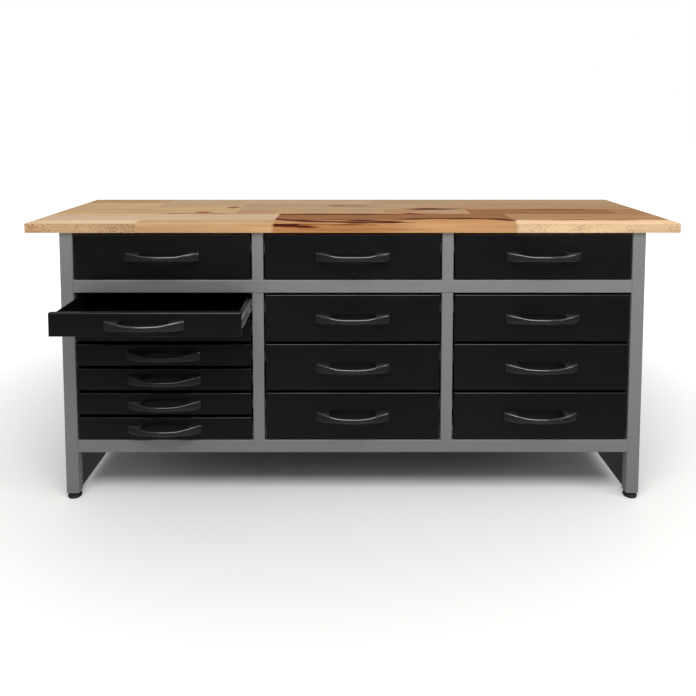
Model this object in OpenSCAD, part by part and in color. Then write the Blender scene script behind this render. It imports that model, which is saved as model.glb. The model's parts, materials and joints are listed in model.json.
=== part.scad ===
// Workbench with drawers: a laminated beech top on a folded steel frame with three bays.
// The left bay holds a column of shallow drawers, the other two hold deep ones, and each bay has one more
// drawer above the middle rail. The first shallow drawer is drawn partly pulled out.
// +X is to the right, the drawers open towards -Y, and +Z is up. The origin is on the floor, under the
// middle of the worktop.

/* [Overall] */
// Width of the worktop
top_w = 2000; // [1500:10:2400]
// Depth of the worktop, front to back
top_d = 600; // [560:10:750]
// Height of the working surface above the floor
bench_h = 875; // [780:5:1050]

/* [Worktop] */
// Thickness of the worktop
top_t = 30; // [20:1:50]
// How far the worktop stands out past the frame at each end
end_overhang = 100; // [10:5:200]
// How far the worktop stands out past the frame at the front and at the back
front_overhang = 10; // [0:1:25]
// Rounding of the worktop's long edges
top_edge_r = 2; // [0.5:0.5:6]

/* [Frame] */
// Width of a leg, seen from the front
leg_w = 40; // [34:1:60]
// Depth of a leg and of the rails
leg_d = 30; // [24:1:40]
// Thickness of the folded frame sheet
frame_t = 2; // [1.5:0.5:3]
// Outside radius of the folds
fold_r = 3; // [2.5:0.5:5]
// Width of each post between two bays
post_w = 35; // [25:1:60]
// Height of the front rails and of the end ties
rail_h = 40; // [25:1:60]
// Depth of the end ties, measured from the outside of the leg
tie_d = 24; // [16:1:24]
// Height of the bottom rail's lower edge above the floor
bottom_rail_z = 149; // [100:1:220]
// Thickness of the plate that closes the foot of each leg
foot_plate_t = 5; // [4:0.5:8]

/* [Panels] */
// Thickness of the side, rear and partition sheets
panel_t = 1.5; // [1:0.5:2]
// Depth of the folded edges of the side and rear panels
panel_fold = 14; // [8:1:14]
// Height of the side panels' lower edge above the floor
panel_z = 26; // [20:1:60]

/* [Drawers] */
// Number of drawers in the left column
shallow_rows = 6; // [4:1:6]
// Number of drawers in each of the other columns
deep_rows = 3; // [2:1:4]
// Height of the opening above the middle rail
upper_bay_h = 148; // [120:1:190]
// Gap between a drawer front and the frame at each side
side_gap = 5; // [3:0.5:8]
// Gap between a rail and the front below it
under_rail_gap = 6.5; // [3:0.5:9]
// Gap between a rail and the front above it
over_rail_gap = 4.5; // [3:0.5:9]
// Gap between two shallow fronts
shallow_gap = 9.8; // [4:0.2:12]
// Gap between two deep fronts
deep_gap = 8; // [4:0.5:12]
// Depth of the folded front pan
front_t = 15; // [10:1:20]
// Thickness of the drawer sheet
sheet_t = 1; // [0.8:0.1:1.5]
// How far the tray's walls end below the top of the front
tray_drop = 6; // [4:1:20]
// How far the tray's floor lies above the bottom of the front
tray_lift = 6; // [3:1:12]
// Length of the tray behind the front
tray_d = 500; // [400:5:520]
// How far the first shallow drawer stands open at rest
rest_open = 190; // [0:5:375]

/* [Slides] */
// Length of a slide
slide_l = 500; // [400:50:500]
// Height of a slide
slide_h = 35; // [30:1:45]
// Thickness of a closed slide, which is the space between tray and wall
slide_t = 12.7; // [12:0.1:14]
// Thickness of the slide's sheet
slide_sheet = 1.2; // [1:0.1:1.6]
// Space for the balls above and below the drawer's member
ball_gap = 3.6; // [3:0.1:4.5]
// Space between the two members, side to side
slide_clear = 1; // [0.5:0.1:1.5]
// How far the cabinet's members start behind the fronts
slide_inset = 1.5; // [1:0.5:6]
// Depth of the slide's centre line below the top of a shallow front
shallow_slide_drop = 36; // [30:1:40]
// Depth of the slide's centre line below the top of a deep front
deep_slide_drop = 44; // [30:1:60]

/* [Handles] */
// Length of a handle, over its feet
handle_l = 228; // [180:1:260]
// How far the bow stands out from the front
handle_reach = 45; // [35:1:55]
// Radius of the bow's outer curve, seen from above
handle_r = 190; // [160:5:260]
// Thickness of the bow, seen from above
handle_t = 10; // [7:0.5:14]
// Height of the bow
handle_h = 16; // [12:1:20]
// Width of the finger opening
grip_w = 140; // [110:1:160]
// Radius where the finger opening turns into the feet
grip_r = 16; // [8:1:20]
// Height of the handle's feet
handle_foot_h = 27; // [20:1:32]
// Thickness of the handle's feet
handle_foot_t = 5; // [3:0.5:8]

/* [Feet] */
// Diameter of a foot's pad
pad_d = 42; // [30:1:46]
// Height of a foot's pad
pad_h = 9; // [6:0.5:12]
// Height of the lower edge of the legs above the floor
leg_z = 17; // [14:1:25]
// Radius of a foot's stem
stem_r = 5; // [4:0.5:6]
// Length of the stem above the pad
stem_l = 45; // [30:1:60]
// Radial clearance of the stem in the leg's plate
stem_clear = 0.05; // [0.03:0.01:0.1]
// Width across flats of the hexagon on the pad
hex_af = 17; // [13:1:22]
// Height of that hexagon
hex_h = 5; // [3:0.5:6]
// Distance from the leg's front to the centre line of the foot
foot_inset = 17; // [14:1:20]

/* [Hidden] */

frame_w = top_w - 2 * end_overhang;
frame_x = frame_w / 2;
inner_x = frame_x - leg_w;
front_y = -top_d / 2 + front_overhang;
rear_y = -front_y;
frame_top = bench_h - top_t;
bottom_rail_top = bottom_rail_z + rail_h;
middle_rail_z = frame_top - upper_bay_h - rail_h;
lower_bay_h = middle_rail_z - bottom_rail_top;
bay_w = (2 * inner_x - 2 * post_w) / 3;
bay_pitch = bay_w + post_w;
post_x = bay_pitch / 2;
front_w = bay_w - 2 * side_gap;
tray_w = bay_w - 2 * slide_t;
foot_x = frame_x - leg_w / 2;
foot_y = -front_y - foot_inset;
big = 3000;

smooth = 64;
bend = 32;

grey = "#808284";
black = "#1c1c1d";
zinc = "#c9ccce";
plastic = "#202022";
beech = "#c99a63";

// Height of each front in a column of n that fills the lower bay with gap g between fronts
function column_front_h(n, g) = (lower_bay_h - under_rail_gap - over_rail_gap - (n - 1) * g) / n;

// Name, middle in X, lower edge, height of the front, slide drop below its top, and opening at rest
DRAWERS = concat(
    [for (b = [["left", -1], ["middle", 0], ["right", 1]])
        [str("top_drawer_", b[0]), b[1] * bay_pitch, middle_rail_z + rail_h + over_rail_gap,
         upper_bay_h - under_rail_gap - over_rail_gap, deep_slide_drop, 0]],
    [for (b = [["left", -1, shallow_rows, shallow_gap, shallow_slide_drop, rest_open],
               ["middle", 0, deep_rows, deep_gap, deep_slide_drop, 0],
               ["right", 1, deep_rows, deep_gap, deep_slide_drop, 0]],
          i = [1:b[2]])
        let (h = column_front_h(b[2], b[3]))
        [str(b[0], "_drawer_", i), b[1] * bay_pitch,
         middle_rail_z - under_rail_gap - i * h - (i - 1) * b[3], h, b[4], i == 1 ? b[5] : 0]]);

function name_of(d) = d[0];
function x_of(d) = d[1];
function z_of(d) = d[2];
function height_of(d) = d[3];
function slide_z_of(d) = d[2] + d[3] - d[4];
function opening_of(d) = d[5];

FEET = [for (s = [["front_left", -1, -1], ["front_right", 1, -1], ["rear_left", -1, 1], ["rear_right", 1, 1]])
    [str("foot_", s[0]), s[1] * foot_x, s[2] * foot_y]];

// ---------------------------------------------------------------- shared shapes

// A rectangle standing on the X axis, w wide and d high, with its two lower corners rounded
module rounded_foot_rect(w, d, r) {
    translate([-w / 2, r]) square([w, d - r]);
    translate([-w / 2 + r, 0]) square([w - 2 * r, d]);
    for (s = [-1, 1]) translate([s * (w / 2 - r), r]) circle(r = r, $fn = bend);
}

// Section of a folded channel: a web w wide along the X axis, with two flanges d deep that point to +Y
module channel_section(w, d, t, r) {
    difference() {
        rounded_foot_rect(w, d, r);
        translate([0, t]) rounded_foot_rect(w - 2 * t, d, r - t);
    }
}

// A box from corner to corner
module block(low, high) {
    translate(low) cube(high - low);
}

// The same shape on both sides of the middle plane
module mirrored_x(side) {
    if (side > 0) children();
    else mirror([1, 0, 0]) children();
}

// ---------------------------------------------------------------- worktop

module worktop() {
    color(beech)
    translate([-top_w / 2, 0, frame_top])
    rotate([90, 0, 90])
    linear_extrude(top_w)
    union() {
        translate([-top_d / 2, top_edge_r]) square([top_d, top_t - 2 * top_edge_r]);
        translate([-top_d / 2 + top_edge_r, 0]) square([top_d - 2 * top_edge_r, top_t]);
        for (y = [-1, 1], z = [top_edge_r, top_t - top_edge_r])
            translate([y * (top_d / 2 - top_edge_r), z]) circle(r = top_edge_r, $fn = bend);
    }
}

// ---------------------------------------------------------------- frame

// A leg of the right end frame, standing with its web at front_y
module leg() {
    difference() {
        translate([foot_x, front_y, leg_z])
        union() {
            linear_extrude(frame_top - leg_z) channel_section(leg_w, leg_d, frame_t, fold_r);
            linear_extrude(foot_plate_t) rounded_foot_rect(leg_w, leg_d, fold_r);
        }
        translate([foot_x, front_y + foot_inset, 0])
        cylinder(r = stem_r + stem_clear, h = 2 * leg_z + foot_plate_t, $fn = smooth);
    }
}

// A channel between the two legs of an end frame, with its web outside
module tie(z) {
    translate([frame_x, 0, z + rail_h / 2])
    rotate([0, 90, 90])
    translate([0, 0, front_y + leg_d])
    linear_extrude(2 * (rear_y - leg_d))
    channel_section(rail_h, tie_d, frame_t, fold_r);
}

// Both legs of one end with the two ties that are welded between them
module leg_frame(side) {
    color(grey)
    mirrored_x(side) {
        leg();
        mirror([0, 1, 0]) leg();
        tie(bottom_rail_z);
        tie(frame_top - rail_h);
    }
}

// A channel across the front between the end frames, with its web at the front
module front_rail(z) {
    color(grey)
    translate([-inner_x, front_y, z + rail_h / 2])
    rotate([90, 0, 90])
    linear_extrude(2 * inner_x)
    rotate(-90)
    channel_section(rail_h, leg_d, frame_t, fold_r);
}

module middle_rail() {
    front_rail(middle_rail_z);
}

module bottom_rail() {
    front_rail(bottom_rail_z);
}

// One sheet folded into a post face and two walls, notched at the front for the middle rail
module partition(side) {
    color(grey)
    difference() {
        translate([side * post_x, front_y, bottom_rail_top])
        linear_extrude(frame_top - bottom_rail_top)
        channel_section(post_w, rear_y - front_y - panel_t, panel_t, fold_r);
        block([-big, front_y - 1, middle_rail_z], [big, front_y + leg_d, middle_rail_z + rail_h]);
    }
}

// A shallow tray of sheet, standing in the leg's inner plane with its folded edges pointing outwards
module side_panel(side) {
    color(black)
    mirrored_x(side)
    difference() {
        block([inner_x, front_y + leg_d, panel_z], [inner_x + panel_fold, rear_y - leg_d, frame_top]);
        block([inner_x + panel_t, front_y + leg_d + panel_t, panel_z + panel_t],
              [inner_x + panel_fold + 1, rear_y - leg_d - panel_t, frame_top - panel_t]);
    }
}

// The back of the cabinet, between the rear legs, with its folded edges pointing to the front below the
// drawers and its sheet flat behind them
module rear_panel() {
    color(black) {
        block([-inner_x, rear_y - panel_t, bottom_rail_z], [inner_x, rear_y, frame_top]);
        translate([-inner_x, rear_y - leg_d, bottom_rail_z]) {
            cube([2 * inner_x, leg_d - panel_t, panel_t]);
            cube([2 * inner_x, panel_t, rail_h]);
        }
    }
}

// ---------------------------------------------------------------- slides

// Section of the cabinet's member: its web lies against the wall at x = 0 and its flanges point to +X
module outer_section() {
    rotate(-90) channel_section(slide_h, slide_t - slide_sheet - slide_clear, slide_sheet, slide_sheet + 1);
}

// Section of the drawer's member: its web lies against the tray at x = slide_t
module inner_section() {
    h = slide_h - 2 * slide_sheet - 2 * ball_gap;
    translate([slide_t, 0]) rotate(90)
    channel_section(h, slide_t - slide_sheet - slide_clear, slide_sheet, slide_sheet + 1);
}

// A member carried along Y, starting at y, beside the wall on the given side of a bay
module member(d, side, y) {
    translate([x_of(d), y, slide_z_of(d)])
    mirrored_x(side)
    translate([bay_w / 2, slide_l, 0])
    mirror([1, 0, 0])
    rotate([90, 0, 0])
    linear_extrude(slide_l)
    children();
}

module cabinet_runners() {
    color(zinc)
    for (d = DRAWERS, side = [-1, 1])
        member(d, side, front_y + front_t + slide_inset) outer_section();
}

module drawer_runners(d) {
    color(zinc)
    for (side = [-1, 1])
        member(d, side, front_y + front_t - opening_of(d)) inner_section();
}

// ---------------------------------------------------------------- drawers

// The folded front pan, the inner sheet that stiffens it, and the tray that is welded to that sheet
module drawer_box(d) {
    z0 = z_of(d);
    z1 = z0 + height_of(d);
    front_x = front_w / 2;
    tray_x = tray_w / 2;
    color(black)
    translate([x_of(d), front_y - opening_of(d), 0]) {
        difference() {
            block([-front_x, 0, z0], [front_x, front_t, z1]);
            block([-front_x + sheet_t, sheet_t, z0 + sheet_t],
                  [front_x - sheet_t, front_t + 1, z1 - sheet_t]);
        }
        block([-tray_x, front_t - sheet_t, z0], [tray_x, front_t, z1]);
        difference() {
            block([-tray_x, front_t - sheet_t, z0 + tray_lift], [tray_x, front_t + tray_d, z1 - tray_drop]);
            block([-tray_x + sheet_t, front_t, z0 + tray_lift + sheet_t],
                  [tray_x - sheet_t, front_t + tray_d - sheet_t, z1]);
        }
    }
}

// ---------------------------------------------------------------- handles

// The bow seen from above: a segment of a disc with the finger opening cut out of it
module bow_outline() {
    difference() {
        intersection() {
            translate([0, handle_r - handle_reach]) circle(r = handle_r, $fn = 128);
            translate([-handle_l / 2, -handle_reach]) square([handle_l, handle_reach]);
        }
        intersection() {
            translate([0, handle_r - handle_reach]) circle(r = handle_r - handle_t, $fn = 128);
            union() {
                translate([-grip_w / 2 + grip_r, -handle_reach])
                square([grip_w - 2 * grip_r, handle_reach + 1]);
                translate([-grip_w / 2, -handle_reach / 2]) square([grip_w, handle_reach / 2 + 1]);
                for (s = [-1, 1])
                    translate([s * (grip_w / 2 - grip_r), -handle_reach / 2]) circle(r = grip_r, $fn = bend);
            }
        }
    }
}

// A moulded bow handle, fixed to the middle of a drawer front by its two feet
module drawer_handle(d) {
    foot_l = (handle_l - grip_w) / 2;
    color(plastic)
    translate([x_of(d), front_y - opening_of(d), z_of(d) + height_of(d) / 2]) {
        translate([0, 0, -handle_h / 2]) linear_extrude(handle_h) bow_outline();
        for (s = [-1, 1])
            translate([s * (grip_w + foot_l) / 2 - foot_l / 2, -handle_foot_t, -handle_foot_h / 2])
            cube([foot_l, handle_foot_t, handle_foot_h]);
    }
}

// ---------------------------------------------------------------- feet

// A levelling foot: pad, hexagon and stem in one piece, screwed into the leg's plate
module levelling_foot(f) {
    color(plastic)
    translate([f[1], f[2], 0]) {
        cylinder(d = pad_d, h = pad_h, $fn = smooth);
        translate([0, 0, pad_h]) cylinder(d = hex_af / cos(30), h = hex_h, $fn = 6);
        cylinder(r = stem_r, h = pad_h + stem_l, $fn = smooth);
    }
}

// ---------------------------------------------------------------- assembly

worktop();
leg_frame(-1);  // left_leg_frame
leg_frame(1);  // right_leg_frame
side_panel(-1);  // left_side_panel
side_panel(1);  // right_side_panel
partition(-1);  // left_partition
partition(1);  // right_partition
middle_rail();
bottom_rail();
rear_panel();
cabinet_runners();
for (f = FEET)
    levelling_foot(f);
for (d = DRAWERS) {
    drawer_box(d);
    drawer_handle(d);
    drawer_runners(d);
}
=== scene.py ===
"""Workbench with drawers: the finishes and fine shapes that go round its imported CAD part.

Lengths are in metres, in the part's own frame: +X to the right along the worktop, +Y to the back, +Z up, with
the floor at z = 0.  A size whose name ends in _mm is in millimetres, and one whose name ends in _m in metres.
"""
from __future__ import annotations

import json
import logging
import math
from dataclasses import dataclass, field
from enum import Enum

import bpy
import numpy as np
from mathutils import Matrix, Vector

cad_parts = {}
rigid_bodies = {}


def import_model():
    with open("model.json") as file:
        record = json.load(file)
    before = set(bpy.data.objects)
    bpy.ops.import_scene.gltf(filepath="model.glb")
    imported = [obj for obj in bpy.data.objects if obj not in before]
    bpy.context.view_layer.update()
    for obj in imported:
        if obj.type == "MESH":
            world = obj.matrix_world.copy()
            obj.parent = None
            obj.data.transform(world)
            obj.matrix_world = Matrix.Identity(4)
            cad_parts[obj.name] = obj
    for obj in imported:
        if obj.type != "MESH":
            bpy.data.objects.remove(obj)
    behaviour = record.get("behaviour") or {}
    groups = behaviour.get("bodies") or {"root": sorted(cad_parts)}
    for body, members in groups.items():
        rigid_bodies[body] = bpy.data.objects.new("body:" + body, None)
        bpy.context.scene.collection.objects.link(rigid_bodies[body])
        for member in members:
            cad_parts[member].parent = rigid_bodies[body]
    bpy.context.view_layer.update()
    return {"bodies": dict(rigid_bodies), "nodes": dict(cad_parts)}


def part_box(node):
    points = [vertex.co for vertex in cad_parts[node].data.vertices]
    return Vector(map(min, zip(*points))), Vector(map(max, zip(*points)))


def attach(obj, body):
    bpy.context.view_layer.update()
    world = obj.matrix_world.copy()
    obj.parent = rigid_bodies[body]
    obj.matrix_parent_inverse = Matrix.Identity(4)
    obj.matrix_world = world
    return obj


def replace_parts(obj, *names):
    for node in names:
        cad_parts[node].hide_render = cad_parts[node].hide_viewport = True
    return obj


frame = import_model()
MM = 0.001
PER_M = 1000.0  # divided by a pattern's size in mm, this is the scale that draws it at that size
NOISE = (0.3, 0.7)  # where a noise texture's values mostly lie
CABINET = "root"
LOG = logging.getLogger("workbench")


class Axis(Enum):
    """Which way a dish opens: its outline's two directions, then the direction of its depth."""

    ALONG_Y = (0, 2, 1)
    ALONG_Z = (0, 1, 2)


class Slot(Enum):
    """The record's material slots."""

    BEECH = "beech"
    FRAME = "grey_frame"
    SHEET = "black_sheet"
    ZINC = "zinc"
    HANDLE = "handle_plastic"
    FOOT = "foot_plastic"


# ------------------------------------------------------------------------------------------------ colour and nodes


def linear(code: str) -> tuple[float, float, float, float]:
    """Turns an sRGB hex colour into the linear one that shaders take.

    Args:
        code: six hex digits after a hash, such as "#7b7c7d".

    Returns:
        Red, green, blue and an alpha of 1; each channel is c / 12.92 below 0.04045, else
        ((c + 0.055) / 1.055) to the power 2.4.
    """
    c = np.array([int(code[i:i + 2], 16) for i in (1, 3, 5)]) / 255.0
    c = np.where(c <= 0.04045, c / 12.92, ((c + 0.055) / 1.055) ** 2.4)
    return (float(c[0]), float(c[1]), float(c[2]), 1.0)


def add(tree: bpy.types.NodeTree, kind: str, inputs: dict | None = None, **settings: object) -> bpy.types.Node:
    """Adds one shader node with its settings, its constants and its links.

    Args:
        tree: the node tree it goes into.
        kind: Blender's name for the node, without "ShaderNode".
        inputs: for each input, by name or number, a constant or the output socket that feeds it.
        settings: the node's own properties.

    Returns:
        The node.
    """
    node = tree.nodes.new("ShaderNode" + kind)
    for key, value in settings.items():
        setattr(node, key, value)
    for key, value in (inputs or {}).items():
        if isinstance(value, bpy.types.NodeSocket):
            tree.links.new(value, node.inputs[key])
        else:
            node.inputs[key].default_value = value
    return node


def start(name: str, **constants: object) -> tuple[bpy.types.Material, bpy.types.NodeTree, bpy.types.Node]:
    """Starts a material: an empty tree, one Principled shader with its constants, and the output.

    Args:
        name: the finish's name.
        constants: values for the shader's sockets, with spaces in the socket's name written as underscores.

    Returns:
        The material, its node tree and the shader node.
    """
    material = bpy.data.materials.new(name)
    material.use_nodes = True
    tree = material.node_tree
    tree.nodes.clear()
    inputs = {key.replace("_", " "): value for key, value in constants.items()}
    shader = add(tree, "BsdfPrincipled", inputs)
    add(tree, "OutputMaterial", {"Surface": shader.outputs[0]})
    return material, tree, shader


def ramp(tree: bpy.types.NodeTree, value: bpy.types.NodeSocket, start_at: float, end_at: float, low: float = 0.0,
         high: float = 1.0, smooth: bool = False) -> bpy.types.NodeSocket:
    """Turns a value that goes from one number to another into one that goes from low to high.

    Args:
        tree: the node tree.
        value: the socket that gives the value.
        start_at: the value that gives low.
        end_at: the value that gives high.
        low: result at the start.
        high: result at the end.
        smooth: whether the way between is a smooth step, not a straight line.

    Returns:
        The result's socket.
    """
    return add(tree, "MapRange", {"Value": value, "From Min": start_at, "From Max": end_at, "To Min": low,
                                  "To Max": high},
               interpolation_type="SMOOTHSTEP" if smooth else "LINEAR").outputs[0]


def blend(tree: bpy.types.NodeTree, share: bpy.types.NodeSocket, first: object,
          second: object) -> bpy.types.NodeSocket:
    """Mixes two colours, each a socket or a linear colour; a share of 1 gives the second."""
    return add(tree, "Mix", {0: share, 6: first, 7: second}, data_type="RGBA").outputs[2]


def cover(tree: bpy.types.NodeTree, shader: bpy.types.Node, colour: bpy.types.NodeSocket,
          gloss: bpy.types.NodeSocket, height: bpy.types.NodeSocket, strength: float, depth_mm: float) -> None:
    """Links a finish's colour, gloss and relief to its shader.

    Args:
        tree: the node tree.
        shader: the Principled shader.
        colour: the socket that gives the colour.
        gloss: the socket that gives the roughness.
        height: the socket that gives the relief's height, from 0 to 1.
        strength: how much of the relief shows.
        depth_mm: the relief's full depth.
    """
    bump = add(tree, "Bump", {"Strength": strength, "Distance": depth_mm * MM, "Height": height}).outputs[0]
    for name, source in (("Base Color", colour), ("Roughness", gloss), ("Normal", bump)):
        tree.links.new(source, shader.inputs[name])


# ------------------------------------------------------------------------------------------------ finishes
# A finish's roughness wanders from `glossier` below its mean to `duller` above it, and a name that ends in _scale is
# a noise's scale, about the number of its patches along a metre.


@dataclass(frozen=True)
class PowderCoat:
    """Powder-coated sheet steel: sprayed dry and baked, so it is even in colour, satin, and faintly orange-peeled.

    The peel's real waves are 1 to 2 mm wide, too fine to show, so they are drawn 7 mm wide and very shallow.  The
    skin is the smooth resin that flows out on top, as a coat.
    """

    name: str
    colour: str
    shade: str
    roughness: float
    specular: float = 0.5
    skin: float = 0.0
    skin_roughness: float = 0.2
    mottle_scale: float = 2.6
    cloud_scale: float = 9.0
    glossier: float = 0.05
    duller: float = 0.06
    peel_mm: float = 7.0
    peel_strength: float = 0.10
    peel_depth_mm: float = 0.4

    def material(self) -> bpy.types.Material:
        """Makes the material: two close shades in a slow mottle, uneven gloss, and the peel as a bump."""
        made, tree, shader = start(self.name, Roughness=self.roughness, Specular_IOR_Level=self.specular,
                                   Coat_Weight=self.skin, Coat_Roughness=self.skin_roughness)
        place = add(tree, "TexCoord").outputs["Object"]
        mottle = add(tree, "TexNoise", {"Vector": place, "Scale": self.mottle_scale, "Detail": 3.0, "Roughness": 0.6})
        tint = blend(tree, mottle.outputs[0], linear(self.shade), linear(self.colour))
        cloud = add(tree, "TexNoise", {"Vector": place, "Scale": self.cloud_scale, "Detail": 4.0})
        gloss = ramp(tree, cloud.outputs[0], *NOISE, self.roughness - self.glossier, self.roughness + self.duller)
        peel = add(tree, "TexNoise", {"Vector": place, "Scale": PER_M / self.peel_mm, "Detail": 1.0})
        cover(tree, shader, tint, gloss, peel.outputs[0], self.peel_strength, self.peel_depth_mm)
        return made


@dataclass(frozen=True)
class ZincPlate:
    """Bright zinc plating on cold-rolled strip: a bluish white metal with a slow bloom and rolling lines along Y.

    The rolling lines are really about 0.1 mm apart, too fine to show, so they are drawn 2 mm apart.
    """

    name: str
    colour: str
    bloom: str
    roughness: float
    bloom_scale: float = 22.0
    glossier: float = 0.08
    duller: float = 0.12
    line_mm: float = 2.0
    line_stretch: float = 4.0
    line_strength: float = 0.12
    line_depth_mm: float = 0.1

    def material(self) -> bpy.types.Material:
        """Makes the material: bloom in the colour, rolling lines in the gloss and the bump."""
        made, tree, shader = start(self.name, Metallic=1.0, Roughness=self.roughness)
        place = add(tree, "TexCoord").outputs["Object"]
        cloud = add(tree, "TexNoise", {"Vector": place, "Scale": self.bloom_scale, "Detail": 4.0, "Roughness": 0.6})
        share = ramp(tree, cloud.outputs[0], 0.35, 0.65)
        tint = blend(tree, share, linear(self.colour), linear(self.bloom))
        fine = PER_M / self.line_mm
        drawn = add(tree, "Mapping", {"Vector": place, "Scale": (fine, self.line_stretch, fine)})
        lines = add(tree, "TexNoise", {"Vector": drawn.outputs[0], "Scale": 1.0, "Detail": 2.0})
        gloss = ramp(tree, lines.outputs[0], *NOISE, self.roughness - self.glossier, self.roughness + self.duller)
        cover(tree, shader, tint, gloss, lines.outputs[0], self.line_strength, self.line_depth_mm)
        return made


@dataclass(frozen=True)
class MouldedPlastic:
    """Injection-moulded plastic: one dark colour, satin from a spark-eroded mould, with soft-edged highlights.

    The eroded grain is about 0.2 mm wide, too fine to show, so it is drawn 2.5 mm wide and very shallow.  The skin is
    the glossier film that the mould leaves on top, as a coat.
    """

    name: str
    colour: str
    worn: str
    roughness: float
    specular: float = 0.5
    skin: float = 0.0
    skin_roughness: float = 0.12
    dust_scale: float = 30.0
    glossier: float = 0.01
    duller: float = 0.03
    grain_mm: float = 2.5
    grain_strength: float = 0.03
    grain_depth_mm: float = 0.1

    def material(self) -> bpy.types.Material:
        """Makes the material: a slight mottle of dust in the colour and the gloss, and the grain as a bump."""
        made, tree, shader = start(self.name, Roughness=self.roughness, Specular_IOR_Level=self.specular,
                                   Coat_Weight=self.skin, Coat_Roughness=self.skin_roughness)
        place = add(tree, "TexCoord").outputs["Object"]
        dust = add(tree, "TexNoise", {"Vector": place, "Scale": self.dust_scale, "Detail": 5.0, "Roughness": 0.65})
        share = ramp(tree, dust.outputs[0], 0.45, 0.75)
        tint = blend(tree, share, linear(self.colour), linear(self.worn))
        gloss = ramp(tree, dust.outputs[0], *NOISE, self.roughness - self.glossier, self.roughness + self.duller)
        grain = add(tree, "TexNoise", {"Vector": place, "Scale": PER_M / self.grain_mm, "Detail": 2.0})
        cover(tree, shader, tint, gloss, grain.outputs[0], self.grain_strength, self.grain_depth_mm)
        return made


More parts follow.
